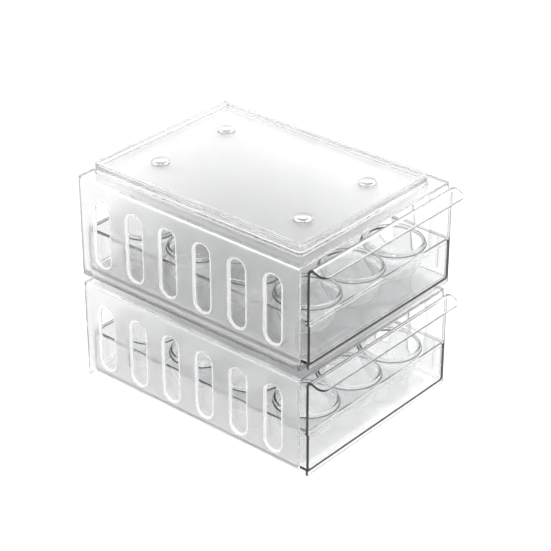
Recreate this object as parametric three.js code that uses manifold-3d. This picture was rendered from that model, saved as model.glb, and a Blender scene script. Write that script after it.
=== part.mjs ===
// Two-tier egg holder: two stacked, identical tiers, each a satin casing that is open at the
// front, a clear drawer that slides out of it, and a clear egg tray that lifts out of the drawer.
//
// Millimetres, +Z up. The drawers open towards -Y. The origin is on the surface that the holder
// stands on, under the middle of its overall box.

import * as THREE from 'three';
import { mergeVertices } from 'three/addons/utils/BufferGeometryUtils.js';
import Module from 'manifold-3d';

const wasm = await Module();
wasm.setup();

// ---- Driving dimensions -------------------------------------------------------------------

// Casing
const CASE_WIDTH = 160;
const CASE_DEPTH = 200;
const SHOULDER_HEIGHT = 77.5; // top of the walls, where the flat shoulder runs round the rim
const WALL = 2.2;
const CASE_CORNER = 2.6; // at the back; the open front has nearly sharp corners
const CASE_FRONT_CORNER = 1.6;
const SHOULDER_BEVEL = 1.2;
const FLOOR_TOP = 4;

// Stacking rim and the panel that lies recessed inside it
const RIM_SIDE_INSET = 11.5;
const RIM_FRONT_INSET = 8.5;
const RIM_REAR_INSET = 4;
const RIM_HEIGHT = 7.5;
const RIM_WIDTH = 4;
const RIM_CORNER = 4.6;
const RIM_BEVEL = 0.9;
const PANEL_DROP = 3.4;

// Pocket under the floor, which drops over the rim of the tier below
const POCKET_DEPTH = 1.6;
const POCKET_CLEARANCE = 0.6;
const STACK_GAP = 0.2; // between the bumpers and the tier that rests on them

// Ventilation slots in both side walls
const SLOT_COUNT = 6;
const SLOT_WIDTH = 13;
const SLOT_HEIGHT = 51;
const SLOT_MIDDLE = 38.7;
const SLOT_END_MARGIN = 22.4;
const SLOT_END_SEGMENTS = 5;

// Bumpers on the recessed panel
const BUMPER_RADIUS = 6.5;
const BUMPER_HEIGHT = 3.6;
const BUMPER_FLAT = 2.6;
const BUMPER_X = 34;
const BUMPER_Y = 64;
const BUMPER_STEPS = 3;
const BUMPER_SIDES = 12;

// Drawer
const PANEL_PROUD = 5; // how far the front panel stands in front of the casing
const PANEL_BOTTOM = 1.6;
const PANEL_TOP = 76.8;
const PANEL_THICKNESS = 2.2;
const DRAWER_WIDTH = 152.6;
const DRAWER_WALL = 2.3;
const DRAWER_BOTTOM = 4.4;
const DRAWER_FLOOR = 1.8;
const DRAWER_TOP = 37.3;
const DRAWER_CORNER = 4;
const DRAWER_REAR_GAP = 1.8;

// Pull lip, rolled forward from the top of the front panel
const LIP_REACH = 12;
const LIP_ROLL = 4.4;
const LIP_SLOPE = THREE.MathUtils.degToRad(19);
const LIP_CORNER = 3.5;

// Stops that end the drawer's travel
const DRAWER_TRAVEL = 150;
const STOP_DEPTH = 1.1;
const STOP_LENGTH = 2;
const STOP_FROM_FRONT = 6;
const STOP_BOTTOM = 10;
const STOP_TOP = 33;
const EAR_BOTTOM = 22;
const STOP_GAP = 0.3;

// Egg tray: a deck with cups, seated in a rabbet round the drawer's walls
const DECK_THICKNESS = 1.4;
const SEAT_WIDTH = 1.3; // how much of the drawer wall the deck rests on
const SEAT_GAP = 0.3;
const CUP_COLUMNS = 3;
const CUP_ROWS = 4;
const CUP_PITCH_X = 46;
const CUP_PITCH_Y = 48;
const CUP_RING_RADIUS = 22;
const CUP_RING_HEIGHT = 2.2;
const CUP_RING_WIDTH = 2;
const CUP_WALL = 1.4;
const CUP_DEPTH = 28.8;
const CUP_ROUNDNESS = 2.2; // 2 would be an ellipse; higher is fuller towards the bottom
const CUP_SIDES = 12;
const CUP_STEPS = 4;
const FIRST_ROW_GAP = 3; // between the front panel and the first row's rings

// ---- Derived places -----------------------------------------------------------------------

const CASE_FRONT = -(CASE_DEPTH - PANEL_PROUD - LIP_REACH) / 2;
const CASE_REAR = CASE_FRONT + CASE_DEPTH;
const CASE_MIDDLE = (CASE_FRONT + CASE_REAR) / 2;
const PANEL_SURFACE = SHOULDER_HEIGHT + RIM_HEIGHT - PANEL_DROP;
const TIER_PITCH = PANEL_SURFACE + BUMPER_HEIGHT + STACK_GAP - POCKET_DEPTH;
const PANEL_FRONT = CASE_FRONT - PANEL_PROUD;
const PANEL_BACK = PANEL_FRONT + PANEL_THICKNESS;
const DRAWER_REAR = CASE_REAR - WALL - DRAWER_REAR_GAP;
const DECK_TOP = DRAWER_TOP - SEAT_GAP / 2;
const DECK_BOTTOM = DECK_TOP - DECK_THICKNESS;
const SEAT_LEVEL = DECK_BOTTOM - SEAT_GAP;
const OVERLAP = 1; // how far a cutting shape runs past the face that it cuts
const CORNER_SEGMENTS = 3;
const ROLL_SEGMENTS = 5;

// ---- Solids -------------------------------------------------------------------------------

function solidFrom(geometry) {
  const bare = geometry.clone();
  bare.deleteAttribute('normal');
  bare.deleteAttribute('uv');
  const merged = mergeVertices(bare, 1e-4);
  return new wasm.Manifold(new wasm.Mesh({
    numProp: 3,
    vertProperties: new Float32Array(merged.attributes.position.array),
    triVerts: new Uint32Array(merged.index.array),
  }));
}

function geometryFrom(solid) {
  const mesh = solid.getMesh();
  const geometry = new THREE.BufferGeometry();
  const positions = new Float32Array(mesh.vertProperties);
  geometry.setAttribute('position', new THREE.BufferAttribute(positions, 3));
  geometry.setIndex(new THREE.BufferAttribute(new Uint32Array(mesh.triVerts), 1));
  geometry.computeVertexNormals();
  return geometry;
}

function union(solids) {
  return solids.reduce((joined, solid) => joined.add(solid));
}

function boxBetween(low, high) {
  const size = new THREE.Vector3(...high).sub(new THREE.Vector3(...low));
  const middle = new THREE.Vector3(...low).addScaledVector(size, 0.5);
  const geometry = new THREE.BoxGeometry(size.x, size.y, size.z);
  return solidFrom(geometry.translate(middle.x, middle.y, middle.z));
}

function roundedRectangle(halfWidth, yLow, yHigh, frontRadius, rearRadius) {
  const shape = new THREE.Shape();
  shape.absarc(halfWidth - frontRadius, yLow + frontRadius, frontRadius, -Math.PI / 2, 0);
  shape.absarc(halfWidth - rearRadius, yHigh - rearRadius, rearRadius, 0, Math.PI / 2);
  shape.absarc(-halfWidth + rearRadius, yHigh - rearRadius, rearRadius, Math.PI / 2, Math.PI);
  shape.absarc(-halfWidth + frontRadius, yLow + frontRadius, frontRadius, Math.PI, Math.PI * 1.5);
  return shape;
}

// A rounded rectangle raised from zLow to zHigh, with both of its edges cut back by a bevel.
function slab(halfWidth, yLow, yHigh, rearRadius, zLow, zHigh, bevel = 0, frontRadius = rearRadius) {
  const shape = roundedRectangle(
    halfWidth - bevel, yLow + bevel, yHigh - bevel, frontRadius - bevel, rearRadius - bevel);
  const geometry = new THREE.ExtrudeGeometry(shape, {
    depth: zHigh - zLow - 2 * bevel,
    curveSegments: CORNER_SEGMENTS,
    bevelEnabled: bevel > 0,
    bevelThickness: bevel,
    bevelSize: bevel,
    bevelSegments: 2,
  });
  return solidFrom(geometry.translate(0, 0, zLow + bevel));
}

// A slab with the outline of the stacking rim's outer face, moved inwards by inset.
function rimSlab(inset, zLow, zHigh, bevel = 0) {
  return slab(
    CASE_WIDTH / 2 - RIM_SIDE_INSET - inset,
    CASE_FRONT + RIM_FRONT_INSET + inset,
    CASE_REAR - RIM_REAR_INSET - inset,
    RIM_CORNER - inset, zLow, zHigh, bevel);
}

// A box from xInner out to xOuter on the right for side 1, and mirrored on the left for side -1.
function sideBox(side, xInner, xOuter, yLow, yHigh, zLow, zHigh) {
  const [xLow, xHigh] = side > 0 ? [xInner, xOuter] : [-xOuter, -xInner];
  return boxBetween([xLow, yLow, zLow], [xHigh, yHigh, zHigh]);
}

// ---- Casing -------------------------------------------------------------------------------

function slotCutter(y) {
  const end = SLOT_WIDTH / 2;
  const straight = SLOT_HEIGHT / 2 - end;
  const outline = new THREE.Shape();
  outline.absarc(0, straight, end, 0, Math.PI);
  outline.absarc(0, -straight, end, Math.PI, Math.PI * 2);
  const length = CASE_WIDTH + 2 * OVERLAP;
  const geometry = new THREE.ExtrudeGeometry(outline, {
    depth: length,
    curveSegments: SLOT_END_SEGMENTS,
    bevelEnabled: false,
  });
  geometry.translate(0, 0, -length / 2);
  geometry.rotateX(Math.PI / 2);
  geometry.rotateZ(Math.PI / 2);
  return solidFrom(geometry.translate(0, y, SLOT_MIDDLE));
}

function slotCutters() {
  const first = CASE_FRONT + SLOT_END_MARGIN;
  const pitch = (CASE_DEPTH - 2 * SLOT_END_MARGIN) / (SLOT_COUNT - 1);
  const places = Array.from({ length: SLOT_COUNT }, (_, index) => first + index * pitch);
  return union(places.map(slotCutter));
}

// A rib inside each side wall, near the front, that catches the drawer's ears.
function casingStop(side) {
  const wallFace = CASE_WIDTH / 2 - WALL;
  const y = CASE_FRONT + STOP_FROM_FRONT;
  return sideBox(
    side, wallFace - STOP_DEPTH, wallFace + WALL / 2, y, y + STOP_LENGTH, STOP_BOTTOM, STOP_TOP);
}

function casingSolid() {
  const halfWidth = CASE_WIDTH / 2;
  const rimTop = SHOULDER_HEIGHT + RIM_HEIGHT;
  const underShoulder = SHOULDER_HEIGHT - WALL;
  const rimRoot = underShoulder - WALL;
  const beforeFront = CASE_FRONT - 2 * CASE_CORNER;
  const walls = slab(
    halfWidth, CASE_FRONT, CASE_REAR, CASE_CORNER, 0, SHOULDER_HEIGHT, SHOULDER_BEVEL, CASE_FRONT_CORNER);
  const rim = rimSlab(0, rimRoot, rimTop, RIM_BEVEL);
  const recess = rimSlab(RIM_WIDTH, PANEL_SURFACE, rimTop + OVERLAP);
  const cavity = slab(
    halfWidth - WALL, beforeFront, CASE_REAR - WALL, CASE_CORNER - WALL, FLOOR_TOP, underShoulder);
  const raisedCavity = rimSlab(WALL, rimRoot, PANEL_SURFACE - WALL);
  const pocket = rimSlab(-POCKET_CLEARANCE, -OVERLAP, POCKET_DEPTH);
  const shell = walls
    .add(rim)
    .subtract(recess)
    .subtract(cavity)
    .subtract(raisedCavity)
    .subtract(pocket)
    .subtract(slotCutters());
  return union([shell, casingStop(-1), casingStop(1)]);
}

// ---- Bumpers ------------------------------------------------------------------------------

function bumperGeometry() {
  const points = [new THREE.Vector2(0, 0)];
  for (let step = 0; step <= BUMPER_STEPS; step++) {
    const angle = (step / BUMPER_STEPS) * (Math.PI / 2);
    const radius = BUMPER_FLAT + (BUMPER_RADIUS - BUMPER_FLAT) * Math.cos(angle);
    points.push(new THREE.Vector2(radius, BUMPER_HEIGHT * Math.sin(angle)));
  }
  points.push(new THREE.Vector2(0, BUMPER_HEIGHT));
  return new THREE.LatheGeometry(points, BUMPER_SIDES).rotateX(Math.PI / 2);
}

// ---- Drawer -------------------------------------------------------------------------------

// Side view of the front panel and its lip, in (Y, Z): up the panel, round the roll and out along
// the lip to a rounded tip.
function panelProfile() {
  const half = PANEL_THICKNESS / 2;
  const rollY = PANEL_BACK - LIP_ROLL;
  const rollZ = PANEL_TOP - LIP_ROLL;
  const turn = Math.PI / 2 + LIP_SLOPE;
  const midRoll = LIP_ROLL - half;
  const tipY = PANEL_FRONT - LIP_REACH + half;
  const lipRun = rollY + midRoll * Math.cos(turn) - tipY;
  const tipZ = rollZ + midRoll * Math.sin(turn) - lipRun * Math.tan(LIP_SLOPE);
  const shape = new THREE.Shape();
  shape.moveTo(PANEL_FRONT, PANEL_BOTTOM);
  shape.lineTo(PANEL_BACK, PANEL_BOTTOM);
  shape.absarc(rollY, rollZ, LIP_ROLL, 0, turn);
  shape.absarc(tipY, tipZ, half, turn, turn + Math.PI);
  shape.absarc(rollY, rollZ, LIP_ROLL - PANEL_THICKNESS, turn, 0, true);
  return shape;
}

function frontPanel() {
  const half = DRAWER_WIDTH / 2;
  const geometry = new THREE.ExtrudeGeometry(panelProfile(), {
    depth: DRAWER_WIDTH,
    curveSegments: ROLL_SEGMENTS,
    bevelEnabled: false,
  });
  geometry.applyMatrix4(new THREE.Matrix4().makeBasis(
    new THREE.Vector3(0, 1, 0), new THREE.Vector3(0, 0, 1), new THREE.Vector3(1, 0, 0)));
  const profile = solidFrom(geometry.translate(-half, 0, 0));
  const rounding = slab(
    half, PANEL_FRONT - LIP_REACH, PANEL_BACK + 2 * LIP_CORNER, LIP_CORNER, 0, SHOULDER_HEIGHT);
  return profile.intersect(rounding);
}

// An ear on each side wall, which meets the casing's stop when the drawer is fully out.
function drawerEar(side) {
  const wallFace = DRAWER_WIDTH / 2;
  const y = CASE_FRONT + STOP_FROM_FRONT + STOP_LENGTH + DRAWER_TRAVEL + STOP_GAP;
  return sideBox(
    side, wallFace - DRAWER_WALL / 2, wallFace + STOP_DEPTH, y, y + STOP_LENGTH, EAR_BOTTOM, STOP_TOP);
}

function drawerSolid() {
  const half = DRAWER_WIDTH / 2;
  const front = PANEL_FRONT - DRAWER_CORNER;
  const body = slab(half, front, DRAWER_REAR, DRAWER_CORNER, DRAWER_BOTTOM, DRAWER_TOP);
  const inside = slab(
    half - DRAWER_WALL, front, DRAWER_REAR - DRAWER_WALL, DRAWER_CORNER - DRAWER_WALL,
    DRAWER_BOTTOM + DRAWER_FLOOR, DRAWER_TOP + OVERLAP);
  const seatEdge = DRAWER_WALL - SEAT_WIDTH;
  const seat = slab(
    half - seatEdge, front, DRAWER_REAR - seatEdge, DRAWER_CORNER - seatEdge,
    SEAT_LEVEL, DRAWER_TOP + OVERLAP);
  const beforePanel = boxBetween(
    [-half - OVERLAP, front - OVERLAP, 0], [half + OVERLAP, PANEL_FRONT, DRAWER_TOP + OVERLAP]);
  const ledge = boxBetween(
    [-half + DRAWER_WALL / 2, PANEL_BACK - OVERLAP, SEAT_LEVEL - PANEL_THICKNESS],
    [half - DRAWER_WALL / 2, PANEL_BACK + SEAT_WIDTH, SEAT_LEVEL]);
  const tray = body.subtract(inside).subtract(seat).subtract(beforePanel);
  return union([tray, frontPanel(), ledge, drawerEar(-1), drawerEar(1)]);
}

// ---- Egg tray -----------------------------------------------------------------------------

function cupCentres() {
  const centres = [];
  const firstRow = PANEL_BACK + FIRST_ROW_GAP + CUP_RING_RADIUS;
  for (let row = 0; row < CUP_ROWS; row++) {
    for (let column = 0; column < CUP_COLUMNS; column++) {
      const x = (column - (CUP_COLUMNS - 1) / 2) * CUP_PITCH_X;
      centres.push([x, firstRow + row * CUP_PITCH_Y]);
    }
  }
  return centres;
}

// A bowl of the given mouth radius and depth below the deck, closed by a straight collar above it.
function bowl(mouthRadius, depth, collarRadius, collarTop) {
  const points = [];
  for (let step = 0; step <= CUP_STEPS; step++) {
    const angle = (step / CUP_STEPS) * (Math.PI / 2);
    const radius = mouthRadius * Math.sin(angle) ** (2 / CUP_ROUNDNESS);
    const drop = depth * Math.cos(angle) ** (2 / CUP_ROUNDNESS);
    points.push(new THREE.Vector2(radius, DECK_TOP - drop));
  }
  points[0].x = 0;
  points.push(new THREE.Vector2(collarRadius, DECK_TOP + CUP_RING_WIDTH / 2));
  points.push(new THREE.Vector2(collarRadius, collarTop));
  points.push(new THREE.Vector2(0, collarTop));
  return new THREE.LatheGeometry(points, CUP_SIDES).rotateX(Math.PI / 2);
}

function eggTraySolid() {
  const edge = DRAWER_WALL - SEAT_WIDTH + SEAT_GAP;
  const deck = slab(
    DRAWER_WIDTH / 2 - edge, PANEL_BACK + SEAT_GAP, DRAWER_REAR - edge,
    DRAWER_CORNER - DRAWER_WALL + SEAT_WIDTH, DECK_BOTTOM, DECK_TOP);
  const ringTop = DECK_TOP + CUP_RING_HEIGHT;
  const innerRadius = CUP_RING_RADIUS - CUP_RING_WIDTH;
  const outer = bowl(innerRadius + CUP_WALL, CUP_DEPTH, CUP_RING_RADIUS, ringTop);
  const inner = bowl(innerRadius, CUP_DEPTH - CUP_WALL, innerRadius, ringTop + OVERLAP);
  const placed = (geometry) => cupCentres().map(
    ([x, y]) => solidFrom(geometry.clone().translate(x, y, 0)));
  return union([deck, ...placed(outer)]).subtract(union(placed(inner)));
}

// ---- Materials ----------------------------------------------------------------------------

const satin = new THREE.MeshStandardMaterial({
  color: 0xe9e9ea, roughness: 0.45, metalness: 0, transparent: true, opacity: 0.6 });
const clear = new THREE.MeshStandardMaterial({
  color: 0xf6f8f9, roughness: 0.05, metalness: 0, transparent: true, opacity: 0.3 });
const softClear = new THREE.MeshStandardMaterial({
  color: 0xf2f4f4, roughness: 0.15, metalness: 0, transparent: true, opacity: 0.5 });

// ---- Assembly -----------------------------------------------------------------------------

function piece(name, geometry, material) {
  const mesh = new THREE.Mesh(geometry, material);
  mesh.name = name;
  return mesh;
}

const casing = geometryFrom(casingSolid());
const drawer = geometryFrom(drawerSolid());
const eggTray = geometryFrom(eggTraySolid());
const bumper = bumperGeometry();

function bumpers(tierName) {
  const corners = {
    front_left: [-1, -1],
    front_right: [1, -1],
    rear_left: [-1, 1],
    rear_right: [1, 1],
  };
  return Object.entries(corners).map(([corner, [sideX, sideY]]) => {
    const mesh = piece(`${tierName}_bumper_${corner}`, bumper, softClear);
    mesh.position.set(sideX * BUMPER_X, CASE_MIDDLE + sideY * BUMPER_Y, PANEL_SURFACE);
    return mesh;
  });
}

function tier(name, level) {
  const group = new THREE.Group();
  group.position.z = level;
  group.add(
    piece(`${name}_casing`, casing, satin),
    piece(`${name}_drawer`, drawer, clear),
    piece(`${name}_egg_tray`, eggTray, clear),
    ...bumpers(name),
  );
  return group;
}

const eggHolder = new THREE.Group();
eggHolder.add(tier('lower', 0), tier('upper', TIER_PITCH));

export default eggHolder;
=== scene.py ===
"""Two-tier egg holder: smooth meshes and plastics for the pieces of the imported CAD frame.

Every piece is modelled in millimetres, in the lower tier's place, and is then copied to the upper
tier. Each finished piece stands for one CAD node and rides on that node's body.
"""

import math

import bpy
from mathutils import Matrix, Vector

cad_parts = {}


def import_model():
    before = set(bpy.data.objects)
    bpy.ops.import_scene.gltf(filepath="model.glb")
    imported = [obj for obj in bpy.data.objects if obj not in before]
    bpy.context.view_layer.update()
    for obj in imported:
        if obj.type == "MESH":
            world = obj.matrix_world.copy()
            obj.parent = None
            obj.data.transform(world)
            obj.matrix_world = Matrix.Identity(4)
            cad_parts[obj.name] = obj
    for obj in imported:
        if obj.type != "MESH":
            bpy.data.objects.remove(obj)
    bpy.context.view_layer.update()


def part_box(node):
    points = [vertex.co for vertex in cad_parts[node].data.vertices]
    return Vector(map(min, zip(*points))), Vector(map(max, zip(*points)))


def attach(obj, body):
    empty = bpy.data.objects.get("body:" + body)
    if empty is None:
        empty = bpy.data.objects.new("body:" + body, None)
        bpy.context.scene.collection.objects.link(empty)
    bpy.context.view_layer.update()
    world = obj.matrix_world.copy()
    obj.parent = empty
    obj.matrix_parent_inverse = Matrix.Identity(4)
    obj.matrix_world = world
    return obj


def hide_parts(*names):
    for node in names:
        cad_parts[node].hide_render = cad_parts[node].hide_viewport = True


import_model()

MM = 0.001

# ---- Sizes (mm), from the frame where a node's box gives them -----------------------------


def box_mm(node):
    low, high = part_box(node)
    return [value / MM for value in low], [value / MM for value in high]


CASE_LOW, CASE_HIGH = box_mm("lower_casing")
DRAWER_LOW, DRAWER_HIGH = box_mm("lower_drawer")
TRAY_LOW, TRAY_HIGH = box_mm("lower_egg_tray")
TIER_PITCH = box_mm("upper_casing")[0][2] - CASE_LOW[2]

CASE_HALF = CASE_HIGH[0]
CASE_FRONT = CASE_LOW[1]
CASE_REAR = CASE_HIGH[1]
RIM_TOP = CASE_HIGH[2]
RIM_HEIGHT = 7.5
SHOULDER = RIM_TOP - RIM_HEIGHT
WALL = 2.2
FLOOR_TOP = 4
CASE_CORNER = 2.6
CASE_FRONT_CORNER = 1.2
SHOULDER_ROUND = 1.2
RIM_SIDE_INSET = 11.5
RIM_FRONT_INSET = 8.5
RIM_REAR_INSET = 4
RIM_WIDTH = 4
RIM_CORNER = 4.6
RIM_ROUND = 0.9
PANEL_DROP = 3.4
PANEL_SURFACE = RIM_TOP - PANEL_DROP
POCKET_DEPTH = 1.6
POCKET_CLEARANCE = 0.6

SLOT_COUNT = 6
SLOT_WIDTH = 13
SLOT_HEIGHT = 51
SLOT_MIDDLE = 38.7
SLOT_END_MARGIN = 22.4
SLOT_BAND = 2.0  # width of the sunk band round each slot
SLOT_BAND_DEPTH = 0.5  # at the band's outer edge
SLOT_BAND_SLOPE = 0.3  # how much deeper the band is at the slot
SLOT_BAND_END = 0.7  # the band's width at a slot's two ends, as a part of its width at the sides

STOP_DEPTH = 1.1
STOP_LENGTH = 2
STOP_FROM_FRONT = 6
STOP_BOTTOM = 10
STOP_TOP = 33
STOP_GAP = 0.3
EAR_BOTTOM = 22
RIB_ROUND = 0.35

PANEL_PROUD = 5
PANEL_THICKNESS = 2.2
PANEL_BOTTOM = DRAWER_LOW[2]
PANEL_TOP = DRAWER_HIGH[2]
PANEL_FRONT = CASE_FRONT - PANEL_PROUD
PANEL_BACK = PANEL_FRONT + PANEL_THICKNESS
LIP_ROLL = 4.4
LIP_SLOPE = math.radians(19)
LIP_CORNER = 6
DRAWER_HALF = 76.3
DRAWER_REAR = DRAWER_HIGH[1]
DRAWER_WALL = 2.3
DRAWER_BOTTOM = 4.4
DRAWER_FLOOR = 1.8
DRAWER_TOP = 37.3
DRAWER_CORNER = 4
DRAWER_TRAVEL = 150

DECK_TOP = 37.15
DECK_BOTTOM = 35.75
SEAT_LEVEL = 35.45
SEAT_WIDTH = 1.3
CUP_COLUMNS = 3
CUP_ROWS = 4
CUP_PITCH_X = 46
CUP_PITCH_Y = 48
RING_RADIUS = 22
RING_WIDTH = 2
RING_TOP = TRAY_HIGH[2]
CUP_WALL = 1.4
CUP_DEPTH = 28.8
CUP_ROUNDNESS = 2.2
FIRST_ROW_GAP = 3

BUMPER_FOOT_GAP = 0.06  # between a bumper's foot and the panel under it
BUMPER_FOOT_HEIGHT = 0.7
BUMPER_FOOT_EDGE = 0.2
BUMPER_TAPER = 1.25  # above 1, a dome's sides lean in more than a half ellipse's

PAST = 1.5  # how far a cutting shape runs past the face that it cuts
SMOOTH_ANGLE = math.radians(32)

# ---- Outlines and paths -------------------------------------------------------------------


def rounded_path(corners, steps=5):
    """A polyline of (across, along, radius) corners, with each corner turned into an arc."""
    points = [Vector(corners[0][:2])]
    for before, corner, after in zip(corners, corners[1:], corners[2:]):
        middle = Vector(corner[:2])
        back = (Vector(before[:2]) - middle).normalized()
        ahead = (Vector(after[:2]) - middle).normalized()
        opening = back.angle(ahead)
        reach = corner[2] / math.tan(opening / 2)
        centre = middle + (back + ahead).normalized() * corner[2] / math.sin(opening / 2)
        start = middle + back * reach - centre
        sweep = start.angle_signed(middle + ahead * reach - centre)
        for step in range(steps + 1):
            points.append(centre + Matrix.Rotation(-sweep * step / steps, 2) @ start)
    points.append(Vector(corners[-1][:2]))
    return points


def corner_arc(centre_u, centre_v, radius, first_angle, steps):
    angles = [first_angle + math.pi / 2 * step / steps for step in range(steps + 1)]
    return [(centre_u + radius * math.cos(a), centre_v + radius * math.sin(a)) for a in angles]


def rounded_rectangle(u_low, u_high, v_low, v_high, low_radius, high_radius, steps=6):
    """Counter-clockwise outline; low_radius rounds the two corners at v_low."""
    low = max(low_radius, 0.05)
    high = max(high_radius, 0.05)
    return (
        corner_arc(u_high - low, v_low + low, low, -math.pi / 2, steps)
        + corner_arc(u_high - high, v_high - high, high, 0, steps)
        + corner_arc(u_low + high, v_high - high, high, math.pi / 2, steps)
        + corner_arc(u_low + low, v_low + low, low, math.pi, steps)
    )


# ---- Meshes -------------------------------------------------------------------------------


def new_object(name, points, faces):
    mesh = bpy.data.meshes.new(name)
    mesh.from_pydata([tuple(value * MM for value in point) for point in points], [], faces)
    obj = bpy.data.objects.new(name, mesh)
    bpy.context.scene.collection.objects.link(obj)
    return obj


def loft(rings):
    """A closed solid through rings of equal point counts, with flat ends."""
    count = len(rings[0])
    points = [point for ring in rings for point in ring]
    faces = [tuple(reversed(range(count)))]
    for row in range(len(rings) - 1):
        for column in range(count):
            following = (column + 1) % count
            low = row * count
            faces.append((low + column, low + following, low + count + following, low + count + column))
    faces.append(tuple(range(len(points) - count, len(points))))
    return new_object("solid", points, faces)


def lathe(path, centre_x=0.0, centre_y=0.0, segments=72):
    """A closed solid of revolution about +Z; the path starts and ends on the axis."""
    inner = path[1:-1]
    points = [(centre_x, centre_y, path[0][1])]
    for radius, height in inner:
        for segment in range(segments):
            angle = 2 * math.pi * segment / segments
            x = centre_x + radius * math.cos(angle)
            y = centre_y + radius * math.sin(angle)
            points.append((x, y, height))
    points.append((centre_x, centre_y, path[-1][1]))
    last = len(points) - 1
    faces = []
    for segment in range(segments):
        following = (segment + 1) % segments
        faces.append((0, 1 + following, 1 + segment))
        for row in range(len(inner) - 1):
            low = 1 + row * segments
            high = low + segments
            faces.append((low + segment, low + following, high + following, high + segment))
        top = last - segments
        faces.append((top + segment, top + following, last))
    return new_object("solid", points, faces)


def combine(target, operands, operation):
    """Joins or cuts a solid with others, which are used up."""
    for operand in operands:
        modifier = target.modifiers.new("combine", "BOOLEAN")
        modifier.operation = operation
        modifier.solver = "MANIFOLD"
        modifier.object = operand
    evaluated = target.evaluated_get(bpy.context.evaluated_depsgraph_get())
    result = bpy.data.meshes.new_from_object(evaluated)
    target.modifiers.clear()
    target.data = result
    for operand in operands:
        bpy.data.objects.remove(operand)
    return target


def along_z(path, outline):
    """Rings at the heights of a path of (inset, z); outline(inset) gives each ring's (x, y) points."""
    return [[(x, y, z) for x, y in outline(inset)] for inset, z in path]


def along_y(path, outline):
    return [[(x, y, z) for x, z in outline(inset)] for inset, y in path][::-1]


def along_x(path, outline):
    return [[(x, y, z) for y, z in outline(inset)] for inset, x in path]


def rounded_block(low, high, radius):
    """A block with every edge rounded, lofted along X."""
    path = rounded_path([(radius * 2, low[0], 0), (0, low[0], radius), (0, high[0], radius),
                         (radius * 2, high[0], 0)])

    def outline(inset):
        return rounded_rectangle(low[1] + inset, high[1] - inset, low[2] + inset, high[2] - inset,
                                 radius, radius, 4)

    return loft(along_x(path, outline))


def stop_rib(side, x_inner, x_outer, y_front, z_low):
    """One rib of a drawer stop, on the right for side 1 and mirrored on the left for side -1."""
    x_low, x_high = sorted((side * x_inner, side * x_outer))
    return rounded_block((x_low, y_front, z_low), (x_high, y_front + STOP_LENGTH, STOP_TOP), RIB_ROUND)


# ---- Casing -------------------------------------------------------------------------------


def case_outline(inset):
    return rounded_rectangle(-CASE_HALF + inset, CASE_HALF - inset, CASE_FRONT + inset, CASE_REAR - inset,
                             CASE_FRONT_CORNER - inset, CASE_CORNER - inset)


def rim_outline(inset):
    """The outline of the stacking rim's outer face, moved inwards by inset."""
    half = CASE_HALF - RIM_SIDE_INSET - inset
    radius = RIM_CORNER - inset
    return rounded_rectangle(-half, half, CASE_FRONT + RIM_FRONT_INSET + inset,
                             CASE_REAR - RIM_REAR_INSET - inset, radius, radius)


def casing_outer():
    """The whole outside: pocket under the floor, walls, shoulder, stacking rim and recessed panel."""
    pocket = rounded_path([
        (3, POCKET_DEPTH, 0),
        (-POCKET_CLEARANCE, POCKET_DEPTH, 0.8),
        (-POCKET_CLEARANCE, 0, 0.5),
        (-POCKET_CLEARANCE - 1, 0, 0),
    ])
    walls = rounded_path([
        (2, 0, 0),
        (0, 0, SHOULDER_ROUND),
        (0, SHOULDER, SHOULDER_ROUND),
        (2, SHOULDER, 0),
    ])
    rim = rounded_path([
        (-1.5, SHOULDER, 0),
        (0, SHOULDER, 0.9),
        (0, RIM_TOP, RIM_ROUND),
        (RIM_WIDTH, RIM_TOP, RIM_ROUND),
        (RIM_WIDTH, PANEL_SURFACE, 0.9),
        (RIM_WIDTH + 2, PANEL_SURFACE, 0),
    ])
    return loft(along_z(pocket, rim_outline) + along_z(walls, case_outline) + along_z(rim, rim_outline))


def casing_cavity():
    """The space behind the open front, flared at the opening so that the wall's edge is rounded."""
    path = rounded_path([
        (-2.4, CASE_FRONT - 0.7, 0),
        (0, CASE_FRONT + 0.3, 0.8),
        (0, CASE_REAR - WALL, CASE_CORNER - WALL),
        (CASE_CORNER, CASE_REAR - WALL, 0),
    ])

    def outline(inset):
        half = CASE_HALF - WALL - inset
        radius = max(1.6 - inset, 0.3)
        return rounded_rectangle(-half, half, FLOOR_TOP + inset, SHOULDER - WALL - inset, radius, radius)

    return loft(along_y(path, outline))


def casing_raised_cavity():
    path = rounded_path([
        (WALL - 0.3, SHOULDER - 2 * WALL, 0),
        (WALL, SHOULDER - WALL + 0.6, 0.6),
        (WALL, PANEL_SURFACE - WALL, 1),
        (WALL + 2.5, PANEL_SURFACE - WALL, 0),
    ])
    return loft(along_z(path, rim_outline))


def slot_cutter(side, y):
    """One slot through one side wall, with a shallow sunk band round it on the outer face."""
    inner = CASE_HALF - WALL
    band_floor = CASE_HALF - SLOT_BAND_DEPTH
    path = rounded_path([
        (-1.6, inner - 0.45, 0),
        (0, inner + 0.2, 0.6),
        (0, band_floor - SLOT_BAND_SLOPE, 0.3),
        (-SLOT_BAND, band_floor, 0.12),
        (-SLOT_BAND, CASE_HALF - 0.1, 0.15),
        (-SLOT_BAND - 0.8, CASE_HALF + 0.3, 0),
    ])

    def outline(inset):
        half = SLOT_WIDTH / 2 - inset
        tall = SLOT_HEIGHT / 2 - inset * SLOT_BAND_END
        return rounded_rectangle(y - half, y + half, SLOT_MIDDLE - tall, SLOT_MIDDLE + tall, half, half, 12)

    rings = along_x(path, outline)
    if side < 0:
        rings = [[(-x, along, z) for x, along, z in ring] for ring in rings][::-1]
    return loft(rings)


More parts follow.
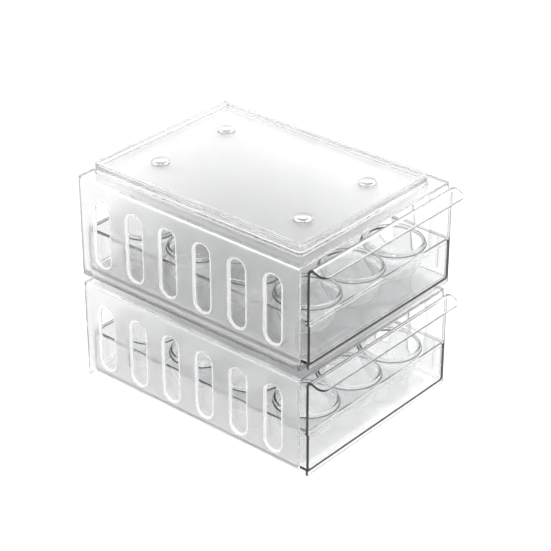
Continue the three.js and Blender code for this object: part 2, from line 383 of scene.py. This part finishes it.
def casing():
    pitch = (CASE_REAR - CASE_FRONT - 2 * SLOT_END_MARGIN) / (SLOT_COUNT - 1)
    slots = [slot_cutter(side, CASE_FRONT + SLOT_END_MARGIN + index * pitch)
             for side in (-1, 1) for index in range(SLOT_COUNT)]
    shell = combine(casing_outer(), [casing_cavity(), casing_raised_cavity(), *slots], "DIFFERENCE")
    face = CASE_HALF - WALL
    stop_front = CASE_FRONT + STOP_FROM_FRONT
    stops = [stop_rib(side, face - STOP_DEPTH, face + 1, stop_front, STOP_BOTTOM) for side in (-1, 1)]
    return combine(shell, stops, "UNION")


# ---- Drawer -------------------------------------------------------------------------------


def panel_section(x, half_thickness, steps=10):
    """The (y, z) outline of the front panel and its lip at x: a thick bent line with round ends."""
    half = PANEL_THICKNESS / 2
    roll_y = PANEL_BACK - LIP_ROLL
    roll_z = PANEL_TOP - LIP_ROLL
    middle_roll = LIP_ROLL - half
    turn = math.pi / 2 + LIP_SLOPE
    past_corner = max(abs(x) - (DRAWER_HALF - LIP_CORNER), 0)
    tip_back = LIP_CORNER - math.sqrt(max(LIP_CORNER ** 2 - past_corner ** 2, 0))
    tip_y = DRAWER_LOW[1] + half + tip_back
    lip_run = roll_y + middle_roll * math.cos(turn) - tip_y
    tip_z = roll_z + middle_roll * math.sin(turn) - lip_run * math.tan(LIP_SLOPE)

    def arc(y, z, radius, first, last):
        angles = [first + (last - first) * step / steps for step in range(steps + 1)]
        return [(y + radius * math.cos(a), z + radius * math.sin(a)) for a in angles]

    bottom_z = PANEL_BOTTOM + half
    return (
        arc(PANEL_FRONT + half, bottom_z, half_thickness, -math.pi, 0)
        + arc(roll_y, roll_z, middle_roll + half_thickness, 0, turn)
        + arc(tip_y, tip_z, half_thickness, turn, turn + math.pi)
        + arc(roll_y, roll_z, middle_roll - half_thickness, turn, 0)
    )


def front_panel():
    """Sections from side to side, thinner at both ends so that the panel's side edges are rounded."""
    half = PANEL_THICKNESS / 2
    edge = 0.7
    places = [DRAWER_HALF - edge + edge * math.sin(math.pi / 2 * step / 5) for step in range(6)]
    corner_start = DRAWER_HALF - LIP_CORNER
    places = [corner_start + (places[0] - corner_start) * math.sin(math.pi / 2 * step / 8)
              for step in range(8)] + places
    rings = []
    for x in [-place for place in reversed(places)] + places:
        past_edge = max(abs(x) - (DRAWER_HALF - edge), 0)
        thin = edge - math.sqrt(max(edge ** 2 - past_edge ** 2, 0))
        rings.append([(x, y, z) for y, z in panel_section(x, half - thin)])
    return loft(rings)


def drawer_outline(inset, front):
    half = DRAWER_HALF - inset
    return rounded_rectangle(-half, half, front, DRAWER_REAR - inset, 0.05, DRAWER_CORNER - inset)


def drawer_body():
    path = rounded_path([
        (4, DRAWER_BOTTOM, 0),
        (0, DRAWER_BOTTOM, 2),
        (0, DRAWER_TOP, 0.35),
        (0.8, DRAWER_TOP, 0),
    ])
    middle = PANEL_FRONT + PANEL_THICKNESS / 2
    return loft(along_z(path, lambda inset: drawer_outline(inset, middle)))


def drawer_inside():
    """Everything above the drawer's floor, with the rabbet that the egg tray's deck rests in."""
    seat_inset = DRAWER_WALL - SEAT_WIDTH
    path = rounded_path([
        (DRAWER_WALL + 3, DRAWER_BOTTOM + DRAWER_FLOOR, 0),
        (DRAWER_WALL, DRAWER_BOTTOM + DRAWER_FLOOR, 1.8),
        (DRAWER_WALL, SEAT_LEVEL, 0.25),
        (seat_inset, SEAT_LEVEL, 0.25),
        (seat_inset, DRAWER_TOP - 0.1, 0.3),
        (seat_inset - 0.8, DRAWER_TOP + 0.3, 0),
    ])
    return loft(along_z(path, lambda inset: drawer_outline(inset, PANEL_FRONT - PAST)))


def drawer():
    ear_front = CASE_FRONT + STOP_FROM_FRONT + STOP_LENGTH + DRAWER_TRAVEL + STOP_GAP
    ears = [stop_rib(side, DRAWER_HALF - 1, DRAWER_HALF + STOP_DEPTH, ear_front, EAR_BOTTOM)
            for side in (-1, 1)]
    ledge = rounded_block(
        (-DRAWER_HALF + DRAWER_WALL / 2, PANEL_BACK - 1, SEAT_LEVEL - PANEL_THICKNESS),
        (DRAWER_HALF - DRAWER_WALL / 2, PANEL_BACK + SEAT_WIDTH, SEAT_LEVEL), 0.4)
    body = combine(drawer_body(), [drawer_inside()], "DIFFERENCE")
    return combine(body, [front_panel(), ledge, *ears], "UNION")


# ---- Egg tray -----------------------------------------------------------------------------


def cup_centres():
    first_row = PANEL_BACK + FIRST_ROW_GAP + RING_RADIUS
    return [((column - (CUP_COLUMNS - 1) / 2) * CUP_PITCH_X, first_row + row * CUP_PITCH_Y)
            for row in range(CUP_ROWS) for column in range(CUP_COLUMNS)]


def bowl_curve(mouth_radius, depth, last_angle, steps=16):
    """(radius, z) points from the bowl's lowest point on the axis up towards its mouth."""
    power = 2 / CUP_ROUNDNESS
    points = []
    for step in range(steps + 1):
        angle = last_angle * (step / steps) ** 1.3
        height = DECK_TOP - depth * math.cos(angle) ** power
        points.append((mouth_radius * math.sin(angle) ** power, height))
    return points


def cup_outside():
    """The bowl's outer face, a small fillet onto the deck and the raised ring with its rounded top."""
    ring = rounded_path([
        (RING_RADIUS + 1.4, DECK_TOP - 0.4, 0),
        (RING_RADIUS, DECK_TOP + 0.1, 0.5),
        (RING_RADIUS, RING_TOP, 0.9),
        (0, RING_TOP, 0),
    ])
    mouth = RING_RADIUS - RING_WIDTH + CUP_WALL
    return bowl_curve(mouth, CUP_DEPTH, math.pi * 0.46) + [tuple(point) for point in ring]


def cup_inside():
    mouth = RING_RADIUS - RING_WIDTH
    flare = rounded_path([
        (mouth, DECK_TOP, 0),
        (mouth, RING_TOP - 0.25, 0.7),
        (mouth + 1.6, RING_TOP + 0.45, 0),
    ])
    return bowl_curve(mouth, CUP_DEPTH - CUP_WALL, math.pi * 0.49) + [tuple(point) for point in flare] + [
        (0, RING_TOP + 0.45)]


def egg_tray():
    path = rounded_path([
        (0.9, DECK_BOTTOM, 0),
        (0, DECK_BOTTOM, 0.45),
        (0, DECK_TOP, 0.45),
        (0.9, DECK_TOP, 0),
    ])

    def outline(inset):
        radius = DRAWER_CORNER - DRAWER_WALL + SEAT_WIDTH - inset
        return rounded_rectangle(TRAY_LOW[0] + inset, TRAY_HIGH[0] - inset, TRAY_LOW[1] + inset,
                                 TRAY_HIGH[1] - inset, radius, radius)

    deck = loft(along_z(path, outline))
    outsides = [lathe(cup_outside(), x, y) for x, y in cup_centres()]
    insides = [lathe(cup_inside(), x, y) for x, y in cup_centres()]
    return combine(combine(deck, outsides, "UNION"), insides, "DIFFERENCE")


# ---- Bumpers ------------------------------------------------------------------------------


def bumper(node, steps=16, segments=64):
    """A low round foot with a smooth dome on it, in the box of the CAD bumper."""
    low, high = box_mm(node)
    radius = (high[0] - low[0]) / 2
    foot = low[2] + BUMPER_FOOT_GAP
    dome_foot = low[2] + BUMPER_FOOT_HEIGHT
    path = [(0, foot), (radius - BUMPER_FOOT_EDGE, foot), (radius, foot + BUMPER_FOOT_EDGE)]
    for step in range(steps):
        angle = math.pi / 2 * step / steps
        height = dome_foot + (high[2] - dome_foot) * math.sin(angle)
        path.append((radius * math.cos(angle) ** BUMPER_TAPER, height))
    path.append((0, high[2]))
    return lathe(path, (low[0] + high[0]) / 2, (low[1] + high[1]) / 2, segments)


# ---- Materials ----------------------------------------------------------------------------


class Nodes:
    """Short calls for building a material's node tree."""

    def __init__(self, tree):
        self.tree = tree

    def add(self, kind, **values):
        node = self.tree.nodes.new(kind)
        for name, value in values.items():
            setattr(node, name, value)
        return node

    def link(self, source, target):
        self.tree.links.new(source, target)

    def noise(self, scale, detail, coordinates):
        node = self.add("ShaderNodeTexNoise")
        node.inputs["Scale"].default_value = scale
        node.inputs["Detail"].default_value = detail
        self.link(coordinates, node.inputs["Vector"])
        return node.outputs["Fac"]

    def spread(self, value, low, high):
        node = self.add("ShaderNodeMapRange")
        node.inputs["To Min"].default_value = low
        node.inputs["To Max"].default_value = high
        self.link(value, node.inputs["Value"])
        return node.outputs["Result"]

    def bump(self, height, strength, distance, under=None):
        node = self.add("ShaderNodeBump")
        node.inputs["Strength"].default_value = strength
        node.inputs["Distance"].default_value = distance
        self.link(height, node.inputs["Height"])
        if under:
            self.link(under, node.inputs["Normal"])
        return node.outputs["Normal"]


PLASTIC_IOR = 1.5
PATCH_SCALE = 60
CLEAR_TINT = (0.5, 0.52, 0.53)
BUMPER_TINT = (0.6, 0.6, 0.58)


def plastic(name, color, roughness, grain, waves, transmission=1.0, absorption=None):
    """Transparent moulded plastic.

    roughness is (middle, spread over broad patches), grain is (scale, depth in metres) of the fine
    texture, waves is the same for the flow of the moulding, and absorption is (colour, density).
    """
    material = bpy.data.materials.new(name)
    material.use_nodes = True
    kit = Nodes(material.node_tree)
    shader = material.node_tree.nodes["Principled BSDF"]
    shader.inputs["Base Color"].default_value = (*color, 1)
    shader.inputs["IOR"].default_value = PLASTIC_IOR
    shader.inputs["Transmission Weight"].default_value = transmission
    coordinates = kit.add("ShaderNodeTexCoord").outputs["Object"]
    middle, spread = roughness
    patches = kit.spread(kit.noise(PATCH_SCALE, 2, coordinates), middle - spread, middle + spread)
    kit.link(patches, shader.inputs["Roughness"])
    flow = kit.bump(kit.noise(waves[0], 1, coordinates), 1, waves[1])
    fine = kit.bump(kit.noise(grain[0], 2, coordinates), 1, grain[1], under=flow)
    kit.link(fine, shader.inputs["Normal"])
    if absorption:
        volume = kit.add("ShaderNodeVolumeAbsorption")
        volume.inputs["Color"].default_value = (*absorption[0], 1)
        volume.inputs["Density"].default_value = absorption[1]
        output = material.node_tree.nodes["Material Output"]
        kit.link(volume.outputs["Volume"], output.inputs["Volume"])
    return material


# A casing has three materials, and none of them absorbs: a ray may go in by one and out by another.
SATIN = plastic("satin_case", (0.995, 0.996, 0.998), (0.34, 0.05),
                grain=(2600, 0.00002), waves=(22, 0.0004), transmission=0.97)
# The polished material's greyer tint is painted shade: it darkens the rim, shoulder and upper wall edge to
# the grey that reflections give them. Its low roughness is the real polish.
POLISHED_PAINTED_SHADE = plastic("polished_edge_painted_shade", (0.93, 0.931, 0.935), (0.06, 0.02),
                   grain=(1200, 0.0000004), waves=(20, 0.00002))
MILKY = plastic("milky_slot_edge", (0.94, 0.94, 0.94), (0.12, 0.03),
                grain=(1200, 0.000003), waves=(20, 0.00002), transmission=0.65)
CLEAR = plastic("clear_drawer", (0.97, 0.971, 0.973), (0.02, 0.01),
                grain=(900, 0.000001), waves=(18, 0.00008), absorption=(CLEAR_TINT, 20))
CLEAR_TRAY = plastic("clear_tray", (0.97, 0.971, 0.973), (0.02, 0.01),
                     grain=(900, 0.000001), waves=(24, 0.00006), absorption=(CLEAR_TINT, 80))
BUMPER_CLEAR = plastic("clear_bumper", (0.95, 0.95, 0.945), (0.03, 0.01),
                       grain=(700, 0.000002), waves=(60, 0.0001), absorption=(BUMPER_TINT, 80))

# ---- Assembly -----------------------------------------------------------------------------


FACE_TOLERANCE = 0.05  # mm, to tell a face in a wall from one on its surface
SATIN_EDGE = 1.5  # mm of polished wall below the shoulder


def is_satin(face):
    """Whether a face of the casing lies in the satin field of a wall, the top panel or the floor."""
    x, y, z = [value / MM for value in face.center]
    flat = max(abs(value) for value in face.normal) > 0.995
    on_panel = z > SHOULDER - WALL and abs(face.normal.z) > 0.99 and PANEL_SURFACE - z < WALL + 0.1
    inside_rim = abs(x) < CASE_HALF - RIM_SIDE_INSET - RIM_WIDTH
    return flat and (z < SHOULDER - SATIN_EDGE or on_panel and inside_rim)


def in_slot(face):
    """Whether a face of the casing lies between the two faces of a side wall, round a slot."""
    x, y, z = [value / MM for value in face.center]
    beside = CASE_FRONT + SLOT_END_MARGIN / 2 < y < CASE_REAR - SLOT_END_MARGIN / 2
    level = abs(z - SLOT_MIDDLE) < SLOT_HEIGHT / 2 + SLOT_BAND
    in_wall = CASE_HALF - WALL + FACE_TOLERANCE < abs(x) < CASE_HALF - FACE_TOLERANCE
    return beside and level and in_wall


def casing_material(face):
    """0 for satin, 1 for polished with painted grey shade in its tint, 2 for the slots' milky edges."""
    if in_slot(face):
        return 2
    return 0 if is_satin(face) else 1


def finish_mesh(obj, materials):
    """Gives a shape its materials and smooth shading; only the casing has more than one."""
    obj.data.materials.clear()
    for material in materials:
        obj.data.materials.append(material)
    if len(materials) > 1:
        for face in obj.data.polygons:
            face.material_index = casing_material(face)
    obj.data.shade_smooth()
    obj.data.set_sharp_from_angle(angle=SMOOTH_ANGLE)
    normals = obj.modifiers.new("normals", "WEIGHTED_NORMAL")
    normals.keep_sharp = True


def place(obj, name, level, body, node, slot):
    """Copies a shape to a tier's level, as the piece that stands for a CAD node."""
    piece = obj.copy()
    piece.name = name
    bpy.context.scene.collection.objects.link(piece)
    piece.data = obj.data.copy()
    piece.data.name = name
    piece.data.transform(Matrix.Translation((0, 0, level * MM)))
    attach(piece, body)
    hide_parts(node)
    return piece


TIERS = {"lower": 0, "upper": TIER_PITCH}

shapes = {
    "casing": (casing(), [SATIN, POLISHED_PAINTED_SHADE, MILKY], "satin_case"),
    "drawer": (drawer(), [CLEAR], "clear_drawer"),
    "egg_tray": (egg_tray(), [CLEAR_TRAY], "clear_tray"),
}
for corner in ("front_left", "front_right", "rear_left", "rear_right"):
    shapes[f"bumper_{corner}"] = (bumper(f"lower_bumper_{corner}"), [BUMPER_CLEAR], "clear_bumper")

for part, (shape, materials, slot) in shapes.items():
    finish_mesh(shape, materials)
    for tier, level in TIERS.items():
        body = f"{tier}_casing" if part.startswith("bumper") else f"{tier}_{part}"
        place(shape, f"{tier}_{part}_shell" if part == "casing" else f"{tier}_{part}_piece", level, body,
              f"{tier}_{part}", slot)
    bpy.data.objects.remove(shape)

# ---- Stage, light and camera --------------------------------------------------------------

FLOOR_HALF = 4
FLOOR_SHADE = 0.2
FLOOR_GLOW = 1  # the floor is a light table, so that it stays white under the clear pieces

SKY_STRENGTH = 1.7
HORIZON_BAND = (5, 18)  # degrees above the horizon between which the dark band turns to sky
HORIZON_SHADE = 0.2
BLACK_CARDS = [  # direction, inner and outer angle in degrees, brightness left in the middle
    ((-1, 0.3, 0.9), 7, 14, 0.3),
    ((0.9, -0.8, 0.7), 3, 8, 0.35),
]

KEY_POSITION = (-0.9, -0.7, 1.3)
KEY_SIZE = (0.45, 0.45)
KEY_POWER = 14
KEY_TARGET = (0, 0, 0.08)

CAMERA_AZIMUTH = math.radians(-49.4)
CAMERA_ELEVATION = math.radians(29.5)
CAMERA_DISTANCE = 1.344
CAMERA_TARGET = (0, 0, 0.084)
CAMERA_ASIDE = (0.0022, 0.0035)  # how far the camera stands to the right of and above its line of sight
CAMERA_LENS = 125.1

CLEAR_BOUNCES = 64  # enough for a ray to pass through both tiers
GLOSSY_BOUNCES = 12


def floor():
    near, far = -FLOOR_HALF, FLOOR_HALF
    corners = [(near, near, 0), (far, near, 0), (far, far, 0), (near, far, 0)]
    mesh = bpy.data.meshes.new("floor")
    mesh.from_pydata(corners, [], [(0, 1, 2, 3)])
    obj = bpy.data.objects.new("floor", mesh)
    bpy.context.scene.collection.objects.link(obj)
    material = bpy.data.materials.new("floor")
    material.use_nodes = True
    shader = material.node_tree.nodes["Principled BSDF"]
    shader.inputs["Base Color"].default_value = (FLOOR_SHADE, FLOOR_SHADE, FLOOR_SHADE, 1)
    shader.inputs["Roughness"].default_value = 1
    shader.inputs["Specular IOR Level"].default_value = 0
    shader.inputs["Emission Color"].default_value = (1, 1, 1, 1)
    shader.inputs["Emission Strength"].default_value = FLOOR_GLOW
    mesh.materials.append(material)


def world():
    """White to the camera; other rays see a sky with a dark horizon and two soft black cards."""
    sky = bpy.data.worlds.new("studio")
    bpy.context.scene.world = sky
    sky.use_nodes = True
    kit = Nodes(sky.node_tree)
    background = sky.node_tree.nodes["Background"]
    background.inputs["Color"].default_value = (1, 1, 1, 1)
    direction = kit.add("ShaderNodeTexCoord").outputs["Generated"]
    height = kit.add("ShaderNodeSeparateXYZ")
    kit.link(direction, height.inputs["Vector"])
    band = kit.add("ShaderNodeMapRange", interpolation_type="SMOOTHSTEP")
    band.inputs["From Min"].default_value = math.sin(math.radians(HORIZON_BAND[0]))
    band.inputs["From Max"].default_value = math.sin(math.radians(HORIZON_BAND[1]))
    band.inputs["To Min"].default_value = HORIZON_SHADE
    band.inputs["To Max"].default_value = 1
    kit.link(height.outputs["Z"], band.inputs["Value"])
    shade = band.outputs["Result"]
    for card_direction, narrow, wide, darkness in BLACK_CARDS:
        dot = kit.add("ShaderNodeVectorMath", operation="DOT_PRODUCT")
        kit.link(direction, dot.inputs[0])
        dot.inputs[1].default_value = Vector(card_direction).normalized()
        card = kit.add("ShaderNodeMapRange", interpolation_type="SMOOTHSTEP")
        card.inputs["From Min"].default_value = math.cos(math.radians(wide))
        card.inputs["From Max"].default_value = math.cos(math.radians(narrow))
        card.inputs["To Min"].default_value = 1
        card.inputs["To Max"].default_value = darkness
        kit.link(dot.outputs["Value"], card.inputs["Value"])
        both = kit.add("ShaderNodeMath", operation="MULTIPLY")
        kit.link(shade, both.inputs[0])
        kit.link(card.outputs["Result"], both.inputs[1])
        shade = both.outputs["Value"]
    seen = kit.add("ShaderNodeLightPath").outputs["Is Camera Ray"]
    either = kit.add("ShaderNodeMath", operation="MAXIMUM")
    kit.link(shade, either.inputs[0])
    kit.link(seen, either.inputs[1])
    lit = kit.add("ShaderNodeMath", operation="MULTIPLY")
    kit.link(either.outputs["Value"], lit.inputs[0])
    lit.inputs[1].default_value = SKY_STRENGTH
    kit.link(lit.outputs["Value"], background.inputs["Strength"])


def area_light(name, position, size, power):
    light = bpy.data.lights.new(name, "AREA")
    light.shape = "RECTANGLE"
    light.size, light.size_y = size
    light.energy = power
    obj = bpy.data.objects.new(name, light)
    obj.location = position
    aim = Vector(KEY_TARGET) - Vector(position)
    obj.rotation_euler = aim.to_track_quat("-Z", "Y").to_euler()
    bpy.context.scene.collection.objects.link(obj)


def camera():
    """From the front left, looking down."""
    back = Vector((math.sin(CAMERA_AZIMUTH) * math.cos(CAMERA_ELEVATION),
                   -math.cos(CAMERA_AZIMUTH) * math.cos(CAMERA_ELEVATION),
                   math.sin(CAMERA_ELEVATION)))
    rotation = back.to_track_quat("Z", "Y")
    right = rotation @ Vector((1, 0, 0))
    up = rotation @ Vector((0, 1, 0))
    data = bpy.data.cameras.new("camera")
    data.sensor_width = 36
    data.lens = CAMERA_LENS
    obj = bpy.data.objects.new("camera", data)
    obj.location = (Vector(CAMERA_TARGET) + back * CAMERA_DISTANCE
                    + right * CAMERA_ASIDE[0] + up * CAMERA_ASIDE[1])
    obj.rotation_euler = rotation.to_euler()
    bpy.context.scene.collection.objects.link(obj)
    bpy.context.scene.camera = obj


scene = bpy.context.scene
scene.view_settings.view_transform = "Standard"
scene.cycles.max_bounces = CLEAR_BOUNCES
scene.cycles.transmission_bounces = CLEAR_BOUNCES
scene.cycles.transparent_max_bounces = CLEAR_BOUNCES
scene.cycles.glossy_bounces = GLOSSY_BOUNCES
floor()
world()
area_light("key", KEY_POSITION, KEY_SIZE, KEY_POWER)
camera()
